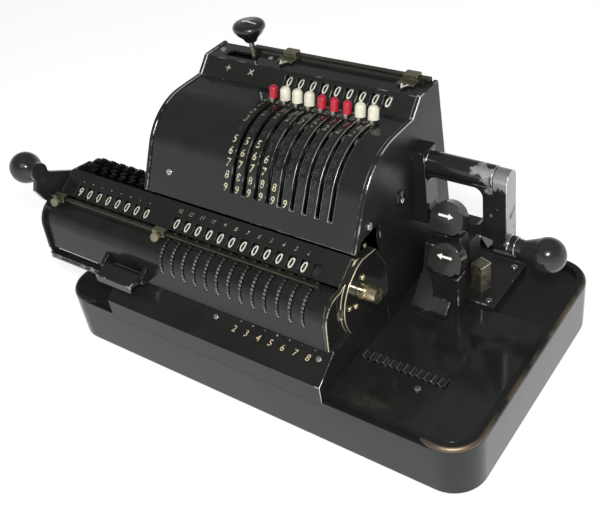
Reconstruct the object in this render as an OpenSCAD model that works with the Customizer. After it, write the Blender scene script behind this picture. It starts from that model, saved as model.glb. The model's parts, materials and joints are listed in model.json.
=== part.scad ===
// Desk calculating machine with a setting-lever cover, a shifting carriage and a side crank.
// Millimetres. X runs left to right, Y front to back, Z up. The origin lies on the table,
// under the middle of the overall box. Inside the file, X is counted from the base's middle.

/* [Base] */
// Length of the base, left to right
base_l = 320; // [312:1:330]
// Depth of the base, front to back
base_d = 181.5; // [180:0.5:188]
// Height of the base casting
base_h = 37; // [34:0.5:42]
// Radius of the base's upright corners
base_r = 21.5; // [16:0.5:24]
// Rounding of the base's top edge
base_edge = 3; // [2:0.5:4]
// Wall of the base casting
base_wall = 5; // [4:0.5:6]
// Width of the rim beside the recess in the base's top
rim_w = 6; // [5:0.5:8]
// Depth of the recess in the base's top
well_depth = 3; // [2:0.5:4]
// Thickness of the sheet that closes the base's underside
bottom_t = 2; // [1.5:0.5:3]
// Height of a rubber foot
foot_h = 4; // [3:0.5:8]
// Diameter of a rubber foot
foot_d = 28; // [20:1:34]
// Distance of a foot's centre from the base's sides
foot_inset = 30; // [24:1:40]

/* [Carriage bed] */
// Left end of the bed, from the base's middle
bed_left = 109.5; // [109:0.5:110.5]
// Right end of the bed, from the base's middle
bed_right = 65; // [64:0.5:66]
// Height of the bed's top over the base
bed_h = 22.5; // [20:0.5:26]
// Height of the bed's upright front lip
bed_lip = 9; // [6:0.5:12]
// Depth of the sloping scale strip
bed_slope_d = 18.75; // [16:0.25:20]
// Depth of the whole bed
bed_d = 77.75; // [74:0.25:78]
// Wall of the bed
bed_wall = 4; // [3:0.5:5]
// How far the bed's front skirt laps over the base's front
bed_lap = 6; // [4:0.5:8]
// Depth of the guide bar, front to back
guide_d = 6; // [5:0.5:7]
// Height of the guide bar
guide_h = 5; // [4:0.5:5.5]
// Distance of the guide bar's front from the base's front
guide_inset = 14; // [13.5:0.25:15]
// Pitch of the shift rack's teeth
rack_pitch = 4.65; // [4:0.05:5]
// Count of the shift rack's teeth
rack_teeth = 12; // [10:1:12]
// Depth of the shift rack, front to back
rack_d = 6; // [5:0.5:8]
// Distance of the shift rack's middle from the base's front
rack_inset = 44; // [38:0.5:48]
// How far the shift rack stands over the cover plate
rack_proud = 1.5; // [1.5:0.25:2.5]

/* [Housing] */
// Left face of the housing, from the base's middle
house_left = 106; // [105:0.5:107]
// Right face of the housing, from the base's middle
house_right = 62.6; // [62:0.2:63.4]
// Thickness of a side plate
side_t = 3; // [2.5:0.5:4]
// How far a side plate's edge stands proud of the covers
side_proud = 1; // [0.5:0.25:1.5]
// Thickness of the sheet covers
sheet_t = 2; // [1.5:0.25:2.5]
// Y of the main shaft, which is the centre of the curved cover
main_y = 15; // [14:0.5:16]
// Height of the main shaft over the base
main_h = 75; // [74:0.5:77]
// Outer radius of the curved cover
cover_r = 42; // [40:0.5:43]
// Lean of the straight skirt from the vertical, degrees
skirt_lean = 28; // [26:1:30]
// Length of the straight skirt
skirt_len = 31; // [28:0.5:31.5]
// Flat run behind the top of the curve
flat_run = 21.5; // [20:0.5:24]
// Rise of the sloping window strip
step_rise = 10; // [9:0.5:12]
// Y of the housing's rear top edge
rear_top_y = 67; // [65:0.5:69]
// How far the rear wall leans out by the time it meets the base
rear_lean = 10.5; // [8:0.5:12]
// Width of a window in the cover or the carriage face
window_w = 6; // [5:0.25:6.5]
// Height of a window
window_h = 8; // [7:0.25:9]

/* [Number columns] */
// Distance between neighbouring columns
pitch = 9.3; // [9.1:0.05:9.5]
// X of the units column, from the base's middle
units_x = 41.5; // [41:0.5:42]
// Distance between neighbouring counter columns
counter_pitch = 9.15; // [9:0.05:9.3]
// X of the counter's last column, left of the base's middle
counter_x = 97; // [96.5:0.5:98]
// Count of setting levers
lever_n = 9; // [9:1:9]
// Count of result columns
result_n = 13; // [13:1:13]
// Count of counter columns
counter_n = 8; // [8:1:8]

/* [Setting levers] */
// Diameter of the main shaft
main_d = 8; // [6:0.5:9]
// Angle of a lever at zero, from the level, degrees
lever_zero = 76.5; // [75:0.5:78]
// Swing of a lever from zero to nine, degrees
lever_swing = 91; // [88:1:92]
// Width of a lever's blade
lever_w = 2.4; // [2:0.1:2.8]
// Diameter of a lever's hub
lever_hub_d = 17; // [15:0.5:19]
// Diameter of a wide lever cap
cap_d = 6.8; // [6:0.1:7.2]
// Diameter of a slim lever cap
slim_cap_d = 5.6; // [5:0.1:6]
// Gap between the cover and a lever cap
cap_gap = 3.5; // [3:0.25:4]
// Length of a cap's straight part
cap_len = 5.5; // [5:0.25:6.5]
// Diameter of a pawl disc on the main shaft
disc_d = 46; // [40:1:48]

/* [Carriage] */
// Space on the carriage left of the last counter column
end_space = 16.95; // [16:0.05:18]
// Right end of the carriage, from the base's middle
car_right = 63; // [62.5:0.5:63.5]
// Thickness of the carriage's left end plate
end_t = 2; // [1.5:0.25:2.25]
// Thickness of the carriage's right end plate
right_end_t = 3; // [2.5:0.25:3.5]
// Thickness of the carriage's floor
floor_t = 3; // [2.5:0.5:4]
// Y of the carriage's rear edge
car_back = -12; // [-14:0.5:-11]
// Tilt of the number face, degrees
face_tilt = 33; // [31:0.5:34]
// Thickness of the number face
face_t = 1.5; // [1:0.25:2]
// Distance of the number line behind the thumbwheel axis
number_dy = 10.4; // [10:0.1:11]
// Height of the number line over the thumbwheel axis
number_dz = 18; // [17.5:0.1:18.2]
// Diameter of a number dial
dial_d = 24; // [22:0.5:24.5]
// Width of a number dial
dial_w = 6; // [5:0.25:6.25]
// Diameter of the dial shaft
dial_shaft_d = 5; // [4:0.5:5.5]
// Diameter of a counter gear over its teeth
counter_gear_d = 16.6; // [15:0.2:17]

/* [Thumbwheels] */
// Diameter of a thumbwheel over its knurl
wheel_d = 31; // [30:0.25:31.5]
// Width of a thumbwheel's rim
wheel_w = 1.8; // [1.5:0.1:2]
// Count of knurl teeth on a thumbwheel
knurl_n = 40; // [32:4:48]
// Depth of the knurl
knurl_h = 0.6; // [0.4:0.1:0.8]
// Diameter of the thumbwheel shaft
wheel_shaft_d = 6; // [5:0.5:6.5]
// Distance of the thumbwheel axis from the base's front
wheel_inset = 31.75; // [31.5:0.25:32.5]
// Height of the thumbwheel axis over the bed
wheel_h = 17.5; // [17:0.25:18]
// How far a thumbwheel stands out of the carriage's front shell
wheel_proud = 0.9; // [0.6:0.1:1.2]
// Thickness of the carriage's front shell
shell_t = 1.4; // [1:0.2:1.6]

/* [Carriage controls] */
// Diameter of the ball on the counter's clearing lever
ball_d = 22.5; // [21:0.5:24]
// Length of the counter's clearing lever, axis to ball
clear_len = 35.8; // [34:0.2:38]
// Angle of that lever at rest, degrees
clear_angle = 124; // [120:1:128]
// Thickness of that lever's blade
clear_t = 3.5; // [3:0.25:4]
// Diameter of the result's clearing knob
clear_knob_d = 10; // [9:0.5:12]
// Length of the result's clearing knob
clear_knob_l = 12.5; // [11:0.5:14]
// Width of the carriage's thumb handle
handle_w = 32; // [28:1:34]
// Reach of the thumb handle in front of its pin
handle_reach = 11.5; // [10:0.5:11.5]
// Left side of the thumb handle, left of the base's middle
handle_left = 114; // [112:0.5:116]

/* [Crank] */
// Y of the crank's axis
crank_y = 38.5; // [38:0.25:39.5]
// Height of the crank's axis over the base
crank_h = 89.5; // [89:0.25:90.5]
// Length of the crank, axis to grip
crank_len = 47; // [44:0.5:49]
// Diameter of the crank's shaft
crank_shaft_d = 9; // [8:0.25:9.5]
// Outer diameter of the bearing tube
tube_d = 14; // [13:0.25:16]
// Reach of the bearing bracket from the housing
bracket_l = 51.9; // [51:0.1:52.4]
// Thickness of the bracket's bars
bracket_bar = 7; // [6:0.5:8]
// Thickness of the crank's arm
arm_t = 9; // [8:0.2:9.4]
// Width of the crank's arm
arm_w = 13; // [11:0.5:14]
// Length of the crank's grip
grip_l = 30; // [28:0.5:31]
// Largest diameter of the grip
grip_d = 22.4; // [20:0.2:24]
// Diameter of the grip at its collar
grip_neck_d = 11; // [10:0.25:12]
// Diameter of the grip's spindle
spindle_d = 6; // [5:0.25:6.5]

/* [Selector lever] */
// X of the selector lever, left of the base's middle
sel_x = 69.5; // [68:0.5:72]
// Y of the selector lever
sel_y = 55; // [53:0.5:56]
// Height of the selector's knob top over the housing
sel_h = 26; // [24:0.5:30]
// Depth of the selector's pivot under the housing's top
sel_depth = 48; // [46:1:50]
// Swing of the selector lever, degrees
sel_swing = 20; // [18:1:22]
// Diameter of the selector's knob
sel_knob_d = 22; // [20:0.5:24]
// Diameter of the selector's stem
sel_stem_d = 4; // [3:0.25:5]

/* [Shift keys] */
// Width of a key cap
key_w = 22; // [20:0.5:23]
// Height of a key cap
key_h = 18; // [16:0.5:18.5]
// Thickness of a key cap
key_t = 9; // [7:0.5:10]
// Backward tilt of a key cap, degrees
key_tilt = 22; // [18:1:26]
// Travel of a key
key_travel = 3; // [2.5:0.25:3]
// X of the left-shift key
key_a_x = 94; // [92:0.5:95]
// Y of the left-shift key
key_a_y = 14; // [13.5:0.5:15]
// Height of the left-shift key's middle over the base
key_a_h = 42; // [40:0.5:43]
// X of the right-shift key
key_b_x = 89; // [87:0.5:90]
// Y of the right-shift key
key_b_y = 27.5; // [26.5:0.5:27.5]
// Height of the right-shift key's middle over the base
key_b_h = 62; // [61:0.5:63]
// Height of the key block over the base
block_h = 37; // [35:0.5:38]
// Side of the steel stop block
stop_side = 9.25; // [8:0.25:9.5]
// Height of the stop block's top over the base
stop_h = 23; // [20:0.5:26]

/* [Markers] */
// Width of a marker rail
rail_w = 4; // [3:0.25:4.5]
// Thickness of a marker rail
rail_t = 1.6; // [1.2:0.1:2]
// Length of a marker along its rail
marker_l = 10; // [8:0.5:11]
// Width of the carriage's marker rail
car_rail_w = 2.4; // [2:0.1:3]
// Distance of the lower left marker from the carriage's left end
marker_a_in = 10; // [9:0.5:12]
// X of the lower right marker, left of the base's middle
marker_b_x = 73; // [70:0.5:76]
// X of the upper left marker, left of the base's middle
marker_c_x = 44; // [42:0.5:46]
// X of the upper right marker, from the base's middle
marker_d_x = 47; // [46:0.5:48]

/* [Hidden] */
$fn = 64;

// Finishes
enamel = [0.06, 0.065, 0.06];
steel = [0.55, 0.55, 0.53];
brass = [0.62, 0.55, 0.36];
rubber = [0.12, 0.12, 0.12];
ivory = [0.93, 0.91, 0.82];
red = [0.72, 0.06, 0.12];
worn_steel = [0.46, 0.40, 0.31];

// Clearances: a running fit on a shaft, a sliding gap, and the cut that reaches past a face
fit = 0.05;
gap = 0.3;
past = 1;

// Levels and edges shared by the pieces
front_y = -base_d / 2;
deck_z = foot_h + base_h;
bed_z = deck_z + bed_h;
car_z = bed_z + gap;
well_z = deck_z - well_depth;
well_x0 = bed_right + past;
plate_back = 22.5;
guide_z = deck_z + bed_lip + 3.5;
rack_x = well_x0 + 2;

// Housing: cross-section points as [Y, Z]
main_c = [main_y, deck_z + main_h];
crown_z = main_c[1] + cover_r;
skirt_top = main_c + cover_r * [-cos(skirt_lean), sin(skirt_lean)];
skirt_dir = [-sin(skirt_lean), -cos(skirt_lean)];
skirt_foot = skirt_top + skirt_len * skirt_dir;
step_foot = [main_y + flat_run, crown_z];
step_top = step_foot + step_rise * [1, 1];
roof_z = step_top[1];
rear_top = [rear_top_y, roof_z];
rear_foot = [rear_top_y + rear_lean, deck_z];
rear_slope = rear_lean / (roof_z - deck_z);
cover_x0 = -house_left + side_t;
cover_x1 = house_right - side_t;
skirt_n = [-cos(skirt_lean), sin(skirt_lean)];
mitre = [tan(22.5), -1];

// Passage for the carriage under the front lip of each side plate
passage_y = car_back + 2;
passage_z = deck_z + 72.5;
lip_w = 4.5;
lip_foot = skirt_foot + [lip_w, 0];
lip_top = lip_foot - (passage_z - skirt_foot[1]) / cos(skirt_lean) * skirt_dir;
// How far an arc laps into the straight edge beside it, degrees
arc_lap = 0.5;
// The straight sheets lie this far inside the curve and lap its ends by this angle
seat = 0.1;
sheet_lap = 8;

// Number columns
function column_x(k) = units_x - (k - 1) * pitch;
function counter_column_x(k) = -counter_x - (k - 1) * counter_pitch;
dial_columns = concat(
    [for (k = [1 : result_n]) column_x(k)], [for (k = [1 : counter_n]) counter_column_x(k)]
);
wheel_shift = pitch / 2;
car_left = end_space - counter_column_x(counter_n);

// Carriage: axes and cross-section points as [Y, Z]
wheel_c = [front_y + wheel_inset, bed_z + wheel_h];
wheel_r = wheel_d / 2;
shell_r = wheel_r - wheel_proud;
number_p = wheel_c + [number_dy, number_dz];
face_dir = [cos(face_tilt), sin(face_tilt)];
face_n = [-sin(face_tilt), cos(face_tilt)];
face_low = 5.5;
face_high = 14.2;
face_front = number_p - face_low * face_dir;
face_back = number_p + face_high * face_dir;
dial_gap = 0.5;
dial_c = number_p - (face_t + dial_gap + dial_d / 2) * face_n;
counter_gear_c = dial_c + [16, 15.2];
car_x0 = -car_left + end_t;
car_x1 = car_right - right_end_t;
plate_r = wheel_r + 1.9;
rail_z = wheel_c[1] + plate_r;
rail_y = wheel_c[0] - 1.5 - car_rail_w / 2;
rail_x1 = car_right - 11;
rail_post = [3, 2.4];
shell_foot = [wheel_c[0] - shell_r - 1.4, car_z];
floor_y = wheel_c[0] - shell_r + shell_t + 0.2;
floor_z = car_z + floor_t;
partition_x = column_x(result_n) - pitch - 1;
partition_t = 2.5;
hook_d = 20;
clear_hub_r = 13;
clear_neck_d = 8;
handle_pin = shell_foot + [-4, 6.5];
handle_pin_d = 3;
handle_lip = 5;
counter_shaft_d = 4;
counter_gear_teeth = 14;

// Crank, grip and their gears
crank_c = [crank_y, deck_z + crank_h];
grip_c = crank_c - [0, crank_len];
bracket_x1 = house_right + bracket_l;
arm_x0 = bracket_x1 + gap;
arm_x1 = arm_x0 + arm_t;
collar_x1 = arm_x1 + 4.5;
grip_x0 = collar_x1 + gap;
spindle_x1 = grip_x0 + grip_l - grip_d / 4;
bracket_foot = grip_c[1] + 4.5;
nose_w = 9.5;
nose_h = 8;
bracket_half = 4.5;
flange_t = 8.6;
flange_half = 7.5;
flange_top = 9;
gear_x0 = column_x(1) + 8;
gear_x1 = gear_x0 + 6;
gear_teeth = 24;
gear_r = norm(crank_c - main_c) / 2;
mesh_angle = atan2(main_c[1] - crank_c[1], main_c[0] - crank_c[0]);

// Check dials behind the window strip
window_p = (step_foot + step_top) / 2;
check_d = 20;
check_c = window_p + (sheet_t + dial_gap + check_d / 2) * [1, -1] / sqrt(2);
check_x0 = column_x(lever_n) - pitch;

// Selector
sel_pivot = [-sel_x, roof_z - sel_depth];
sel_hub_d = 10;
sel_hub_w = 5;
sel_knob_h = 14;

// Shift keys: the stem, the pillar round it, and the levels of the stems' feet
key_stem = [8, 4];
pillar_w = 18;
pillar_front = 5;
pillar_back = 6;
key_a_foot = deck_z + 14;
key_b_foot = deck_z + block_h - 8;

// Key block: its front, steps and back as Y, its ends as X, and the stop block on its plate
block_front = 2;
block_step = 20;
block_shelf = 25;
block_back = 50;
block_slope = 4;
block_low = 3;
block_mid = 20;
block_x0 = well_x0 + 6;
block_x1 = key_a_x + 3.5;
key_plate_x = [well_x0 + 4, well_x0 + 54];
key_plate_back = 71;
key_plate_t = 3;
stop_p = [104.5, 37];
stop_turn = 18;

// Right end of the carriage: a round cheek on the end plate, about the point [Y, Z]
cheek_c = wheel_c + [27.6, -2.7];
cheek_r = 27.7;
cheek_t = 3;
cheek_x1 = car_right + cheek_t;

// Overall box: the ball on the left and the base's right side are the outermost faces
ball_x = -car_left - 18.25;
base_x = (ball_d / 2 - ball_x - base_l / 2) / 2;

function polar(c, r, a) = c + r * [cos(a), sin(a)];
function side_of(p, q) = [q[1] - p[1], p[0] - q[0]] / norm(q - p);

// Shifts a piece from the base's middle to the part's origin
module placed() translate([base_x, 0, 0]) children();

// Draws a cross-section given as [Y, Z] and runs it along X
module along_x(x0, x1) translate([x0, 0, 0]) rotate([90, 0, 90]) linear_extrude(x1 - x0) children();

// Draws an outline given as [X, Z] and runs it along Y
module along_y(y0, y1) translate([0, y1, 0]) rotate([90, 0, 0]) linear_extrude(y1 - y0) children();

// A round bar along X about the point c = [Y, Z]
module rod(x0, x1, c, d) translate([x0, c[0], c[1]]) rotate([0, 90, 0]) cylinder(d = d, h = x1 - x0);

module block(low, high) translate(low) cube(high - low);

// A strip of sheet from p to q, with its thickness on the right of that direction
module strip(p, q, t) polygon([p, q, q + t * side_of(p, q), p + t * side_of(p, q)]);

// A wedge of the plane about c, between two angles less than 150 degrees apart
module wedge(c, r, a0, a1) polygon([c, polar(c, r, a0), polar(c, r, (a0 + a1) / 2), polar(c, r, a1)]);

module rounded(l, d, r) {
    square([l - 2 * r, d], center = true);
    square([l, d - 2 * r], center = true);
    for (sx = [-1, 1], sy = [-1, 1]) translate([sx * (l / 2 - r), sy * (d / 2 - r)]) circle(r);
}

// A rounded slab whose top edge is rounded too
module soft_slab(l, d, h, r, e) {
    linear_extrude(h - e) rounded(l, d, r);
    linear_extrude(h) rounded(l - 2 * e, d - 2 * e, r - e);
    translate([0, 0, h - e]) for (s = [-1, 1]) {
        translate([r - l / 2, s * (d / 2 - e), 0]) rotate([0, 90, 0]) cylinder(r = e, h = l - 2 * r);
        translate([s * (l / 2 - e), r - d / 2, 0]) rotate([-90, 0, 0]) cylinder(r = e, h = d - 2 * r);
        for (t = [-1, 1]) translate([s * (l / 2 - r), t * (d / 2 - r), 0])
            rotate_extrude() translate([r - e, 0]) circle(e);
    }
}

// Straight-sided gear outline
module gear_outline(r, n) {
    m = 2 * r / n;
    circle(r - 1.1 * m);
    for (k = [0 : n - 1]) rotate(k * 360 / n) polygon([
        [r - 1.5 * m, -0.75 * m], [r + 0.8 * m, -0.3 * m], [r + 0.8 * m, 0.3 * m], [r - 1.5 * m, 0.75 * m]
    ]);
}

// Base

module well_outline() intersection() {
    rounded(base_l - 2 * rim_w, base_d - 2 * rim_w, base_r - rim_w);
    translate([well_x0, -base_d / 2]) square([base_l, base_d]);
}

module bed_notch() block(
    [-bed_left, front_y - past, deck_z - bed_lap],
    [bed_right, front_y + bed_wall, deck_z + past]
);

module base_casting() color(enamel) placed() difference() {
    translate([0, 0, foot_h]) soft_slab(base_l, base_d, base_h, base_r, base_edge);
    translate([0, 0, foot_h - past]) linear_extrude(base_h - well_depth - base_wall + past)
        rounded(base_l - 4 * base_wall, base_d - 4 * base_wall, base_r - 2 * base_wall);
    translate([0, 0, foot_h - past]) linear_extrude(bottom_t + past)
        rounded(base_l - 2 * base_wall, base_d - 2 * base_wall, base_r - base_wall);
    translate([0, 0, well_z]) linear_extrude(well_depth + past) well_outline();
    bed_notch();
}

module bottom_plate() color(enamel) placed() translate([0, 0, foot_h]) linear_extrude(bottom_t)
    rounded(base_l - 2 * base_wall - gap, base_d - 2 * base_wall - gap, base_r - base_wall);

module rack_space(clear) translate([
    rack_x - clear, front_y + rack_inset - rack_d / 2 - clear, well_z - clear
]) cube([rack_teeth * rack_pitch + 2 * clear, rack_d + 2 * clear, well_depth + rack_proud + 2 * clear]);

module base_cover_plate() color(enamel) placed() difference() {
    translate([0, 0, well_z]) linear_extrude(well_depth) difference() {
        well_outline();
        translate([0, plate_back]) square([base_l, base_d]);
    }
    rack_space(gap);
}

module rubber_feet() color(rubber) placed() for (sx = [-1, 1], sy = [-1, 1])
    translate([sx * (base_l / 2 - foot_inset), sy * (base_d / 2 - foot_inset), 0])
        cylinder(d = foot_d, h = foot_h);

// Carriage bed, guide bar and rack

module guide_outline() translate([front_y + guide_inset, guide_z]) square([guide_d, guide_h]);

module carriage_bed() color(enamel) placed() difference() {
    along_x(-bed_left, bed_right) polygon([
        [front_y, deck_z - bed_lap], [front_y, deck_z + bed_lip],
        [front_y + bed_slope_d, bed_z], [front_y + bed_d, bed_z], [front_y + bed_d, deck_z],
        [front_y + bed_wall, deck_z], [front_y + bed_wall, deck_z - bed_lap]
    ]);
    along_x(-bed_left + bed_wall, bed_right - bed_wall) polygon([
        [front_y + bed_wall, deck_z - past], [front_y + bed_wall, deck_z + bed_lip - bed_wall / 2],
        [front_y + bed_slope_d + bed_wall / 2, bed_z - bed_wall],
        [front_y + bed_d - bed_wall, bed_z - bed_wall], [front_y + bed_d - bed_wall, deck_z - past]
    ]);
    along_x(-bed_left - past, bed_right - bed_wall) guide_outline();
}

module guide_bar() color(steel) placed() along_x(-car_left - 1.5, bed_right - bed_wall) difference() {
    guide_outline();
    translate([front_y + guide_inset - past, guide_z + guide_h / 2]) square([past + 0.8, 1]);
}

module shift_rack() color(steel) placed() difference() {
    rack_space(0);
    for (k = [0 : rack_teeth - 1])
        translate([rack_x + (k + 0.5) * rack_pitch, 0, deck_z + rack_proud])
            rotate([0, 45, 0]) cube([rack_pitch * 0.55, base_d, rack_pitch * 0.55], center = true);
}

// Housing

// Outline of a side plate. The carriage runs through the passage under its front lip.
module side_outline() {
    polygon([
        [passage_y, deck_z], rear_foot + [side_proud, 0], rear_top + [side_proud, side_proud],
        step_top + side_proud * [-0.4, 1], step_foot + side_proud * [-0.4, 1], [main_y, crown_z + side_proud],
        skirt_top + side_proud * skirt_n, skirt_foot + side_proud * skirt_n, lip_foot, lip_top,
        [passage_y, passage_z]
    ]);
    intersection() {
        translate(main_c) circle(cover_r + side_proud);
        wedge(main_c, 2 * cover_r, 90 - arc_lap, 180 - skirt_lean + arc_lap);
    }
}

module side_plate(x0) difference() {
    along_x(x0, x0 + side_t) side_outline();
    rod(x0 - past, x0 + side_t + past, main_c, main_d + 2 * fit);
}

module left_side_plate() color(enamel) placed() side_plate(-house_left);

module right_side_plate() color(enamel) placed() difference() {
    side_plate(cover_x1);
    rod(cover_x1 - past, house_right + past, crank_c, crank_shaft_d + 2 * fit);
}

module slotted_cover() color(enamel) placed() difference() {
    union() {
        along_x(cover_x0, cover_x1) intersection() {
            difference() {
                translate(main_c) circle(cover_r);
                translate(main_c) circle(cover_r - sheet_t);
            }
            wedge(main_c, 2 * cover_r, 90 - sheet_lap, 180 - skirt_lean + sheet_lap);
        }
        along_x(cover_x0, cover_x1)
            translate([main_y, crown_z - seat - sheet_t]) square([flat_run, sheet_t]);
        along_x(cover_x0, cover_x1)
            strip(skirt_foot - seat * skirt_n, skirt_top - seat * skirt_n, sheet_t);
    }
    for (k = [1 : lever_n]) along_x(column_x(k) - lever_w / 2 - gap, column_x(k) + lever_w / 2 + gap)
        wedge(main_c, 2 * cover_r, lever_zero - 7, lever_zero + lever_swing + 6);
}

// Two lugs under the top panel carry the selector's pin
module selector_lugs() {
    for (s = [-1, 1]) block(
        [sel_pivot[0] - sel_hub_d / 2, sel_y + s * 4.5 - 1.5, sel_pivot[1] - sel_hub_d / 2],
        [sel_pivot[0] + sel_hub_d / 2, sel_y + s * 4.5 + 1.5, roof_z - sheet_t]
    );
    translate([sel_pivot[0], sel_y, sel_pivot[1]]) rotate([90, 0, 0])
        cylinder(d = sel_stem_d, h = 2 * sel_hub_w + 2, center = true);
}

// A hanger under the top panel carries the left end of the check dials' shaft
module check_hanger() block(
    [check_x0 - side_t, check_c[0] - dial_shaft_d, check_c[1] - dial_shaft_d],
    [check_x0, check_c[0] + dial_shaft_d, roof_z - past]
);

module top_panel() color(enamel) placed() {
    difference() {
        along_x(cover_x0, cover_x1) polygon([
            step_foot + [0.02, 0.02], step_top, rear_top, rear_top + sheet_t * [rear_slope, -1],
            step_top + sheet_t * mitre, step_foot + [0.02, 0.02] + sheet_t * [1, -1] / sqrt(2)
        ]);
        for (k = [1 : lever_n]) translate([column_x(k), window_p[0], window_p[1]]) rotate([45, 0, 0])
            cube([window_w, window_h, 4 * sheet_t], center = true);
        block(
            [sel_pivot[0] - (sel_depth + 3) * tan(sel_swing) - sel_stem_d, sel_y - sel_stem_d,
                roof_z - 2 * sheet_t],
            [sel_pivot[0] + sel_stem_d, sel_y + sel_stem_d, roof_z + past]
        );
    }
    selector_lugs();
    check_hanger();
}

module rear_cover() color(enamel) placed() along_x(cover_x0, cover_x1) polygon([
    rear_top + sheet_t * [rear_slope, -1], rear_foot, rear_foot - [sheet_t, 0],
    rear_top + sheet_t * [rear_slope - 1, -1]
]);

module check_dials() placed() {
    color(steel) rod(check_x0, cover_x1, check_c, dial_shaft_d);
    color(enamel) for (k = [1 : lever_n]) difference() {
        rod(column_x(k) - dial_w / 2, column_x(k) + dial_w / 2, check_c, check_d);
        rod(column_x(k) - dial_w, column_x(k) + dial_w, check_c, dial_shaft_d + 2 * fit);
    }
}

// Main shaft with its pawl discs and gear

module main_shaft() color(steel) placed() {
    rod(-house_left + past, house_right - past, main_c, main_d);
    for (k = [1 : lever_n])
        rod(column_x(k) - wheel_shift - 1, column_x(k) - wheel_shift + 1, main_c, disc_d);
    along_x(gear_x0, gear_x1) translate(main_c) rotate(mesh_angle + 180 + 180 / gear_teeth)
        gear_outline(gear_r, gear_teeth);
}

// Setting levers, counted from the units column

module setting_lever(k, cap_colour, cap) placed() translate([column_x(k), main_c[0], main_c[1]])
    rotate([lever_zero - 90, 0, 0]) {
        color(steel) difference() {
            union() {
                rod(-pitch / 2 + 2, pitch / 2 - 2, [0, 0], lever_hub_d);
                block([-lever_w / 2, -3.5, 0], [lever_w / 2, 3.5, cover_r - 6]);
                block([-lever_w / 2, -2, cover_r - 7], [lever_w / 2, 2, cover_r + cap_gap + past]);
            }
            rod(-pitch, pitch, [0, 0], main_d + 2 * fit);
        }
        color(cap_colour) translate([0, 0, cover_r + cap_gap]) {
            cylinder(d = cap, h = cap_len);
            translate([0, 0, cap_len]) sphere(d = cap);
        }
    }

module setting_lever_1() setting_lever(1, ivory, cap_d);
module setting_lever_2() setting_lever(2, ivory, cap_d);
module setting_lever_3() setting_lever(3, red, slim_cap_d);
module setting_lever_4() setting_lever(4, red, slim_cap_d);
module setting_lever_5() setting_lever(5, red, slim_cap_d);
module setting_lever_6() setting_lever(6, ivory, cap_d);
module setting_lever_7() setting_lever(7, ivory, cap_d);
module setting_lever_8() setting_lever(8, ivory, cap_d);
module setting_lever_9() setting_lever(9, red, slim_cap_d);

// Selector lever: a blade on a pin, a bright stem and a bell-shaped knob

module selector_lever() placed() translate([sel_pivot[0], sel_y, sel_pivot[1]]) {
    knob_z = sel_depth + sel_h - sel_knob_h;
    color(steel) difference() {
        union() {
            rotate([90, 0, 0]) cylinder(d = sel_hub_d, h = sel_hub_w, center = true);
            block([-3, -2, 0], [3, 2, sel_depth - 6]);
            translate([0, 0, sel_depth - 8]) cylinder(d = sel_stem_d, h = knob_z - sel_depth + 10);
        }
        rotate([90, 0, 0]) cylinder(d = sel_stem_d + 2 * fit, h = 20, center = true);
    }
    color(enamel) translate([0, 0, knob_z]) rotate_extrude() {
        polygon([
            [0, 0], [sel_stem_d, 0], [sel_stem_d + 1.5, 2.5], [sel_knob_d / 2 - 2, 6],
            [sel_knob_d / 2, 10], [sel_knob_d / 2 - 3, 13], [0, sel_knob_h]
        ]);
        translate([sel_knob_d / 2 - 3, 10]) circle(3);
    }
}

// Crank bracket, crank and grip

module crank_bracket() color(enamel) placed() difference() {
    window_x0 = house_right + flange_t;
    window_x1 = bracket_x1 - bracket_bar;
    window_z0 = bracket_foot + bracket_bar;
    window_z1 = crank_c[1] - tube_d / 2 - 1;
    union() {
        block(
            [house_right, crank_y - flange_half, bracket_foot],
            [house_right + flange_t, crank_y + flange_half, crank_c[1] + flange_top]
        );
        rod(house_right, bracket_x1, crank_c, tube_d);
        along_y(crank_y - bracket_half, crank_y + bracket_half) difference() {
            union() {
                translate([house_right, bracket_foot]) square([bracket_l, crank_c[1] - bracket_foot]);
                translate([bracket_x1, bracket_foot]) polygon([
                    [-nose_w, past], [0, past], [0, -nose_h * 0.4], [-nose_w * 0.4, -nose_h]
                ]);
            }
            translate([window_x0 + window_x1, window_z0 + window_z1] / 2)
                rounded(window_x1 - window_x0, window_z1 - window_z0, 6);
        }
    }
    rod(house_right - past, bracket_x1 + past, crank_c, crank_shaft_d + 2 * fit);
}

module crank_arm() color(steel) placed() {
    rod(gear_x0 - 2, arm_x1, crank_c, crank_shaft_d);
    along_x(gear_x0, gear_x1) translate(crank_c) rotate(mesh_angle) gear_outline(gear_r, gear_teeth);
    along_x(arm_x0, arm_x1) {
        translate(crank_c) circle(d = arm_w);
        translate(grip_c) circle(d = arm_w);
        translate([crank_y - arm_w / 2, grip_c[1]]) square([arm_w, crank_len]);
    }
    rod(arm_x1 - past, collar_x1, grip_c, arm_w);
    rod(arm_x1, spindle_x1, grip_c, spindle_d);
}

module crank_grip() color(enamel) placed() translate([grip_x0, grip_c[0], grip_c[1]]) rotate([0, 90, 0])
    difference() {
        rotate_extrude() intersection() {
            union() {
                translate([0, grip_l - grip_d / 2]) circle(d = grip_d);
                polygon([
                    [0, 0], [grip_neck_d / 2, 0], [grip_neck_d / 2, grip_l * 0.12],
                    [grip_d * 0.43, grip_l - grip_d * 0.74], [0, grip_l - grip_d * 0.6]
                ]);
            }
            square([grip_d, grip_l + past]);
        }
        translate([0, 0, -past]) cylinder(d = spindle_d + 2 * fit, h = spindle_x1 - grip_x0 + past + gap);
    }

// Shift keys and their block

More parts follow.
